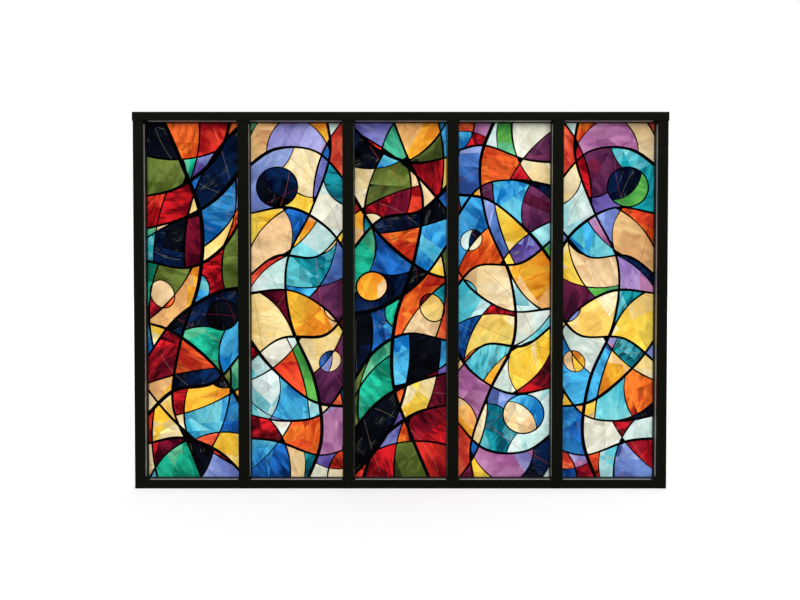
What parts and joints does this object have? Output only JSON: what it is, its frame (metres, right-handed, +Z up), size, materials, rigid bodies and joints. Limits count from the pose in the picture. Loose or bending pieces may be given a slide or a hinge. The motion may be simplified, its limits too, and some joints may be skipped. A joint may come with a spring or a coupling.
{
  "type": "interior glass partition",
  "caption": "Fixed interior glazed partition: slim dark metal frame with narrow upright mullions and tall printed glass panes in grooves with beads and seals.",
  "frame": {"origin": "centre of the underside, at mid depth, where the sill is fixed", "axes": "+X along the width to the right as seen from the front, -Y out of the front, +Z up"},
  "size_m": [1.533, 0.0474, 1.08],
  "materials": {
    "frame": "satin black powder coat",
    "end_cap": "black moulded plastic",
    "printed_glass": "glass with a many-coloured printed picture, opaque where printed",
    "bead": "pale grey, satin",
    "seal": "matt black"
  },
  "bodies": {
    "root": {"head_rail": "frame", "stile_left": "frame", "stile_right": "frame", "mullion_1": "frame", "mullion_2": "frame", "mullion_3": "frame", "mullion_4": "frame", "sill_rail_1": "frame", "sill_rail_2": "frame", "sill_rail_3": "frame", "sill_rail_4": "frame", "sill_rail_5": "frame", "end_cap_left": "end_cap", "end_cap_right": "end_cap", "glass_pane_1": "printed_glass", "glass_pane_2": "printed_glass", "glass_pane_3": "printed_glass", "glass_pane_4": "printed_glass", "glass_pane_5": "printed_glass", "bead_left_1": "bead", "bead_left_2": "bead", "bead_left_3": "bead", "bead_left_4": "bead", "bead_left_5": "bead", "bead_right_1": "bead", "bead_right_2": "bead", "bead_right_3": "bead", "bead_right_4": "bead", "bead_right_5": "bead", "bead_top_1": "bead", "bead_top_2": "bead", "bead_top_3": "bead", "bead_top_4": "bead", "bead_top_5": "bead", "bead_bottom_1": "bead", "bead_bottom_2": "bead", "bead_bottom_3": "bead", "bead_bottom_4": "bead", "bead_bottom_5": "bead", "front_seal_1": "seal", "front_seal_2": "seal", "front_seal_3": "seal", "front_seal_4": "seal", "front_seal_5": "seal", "back_seal_1": "seal", "back_seal_2": "seal", "back_seal_3": "seal", "back_seal_4": "seal", "back_seal_5": "seal"}
  },
  "joints": []
}
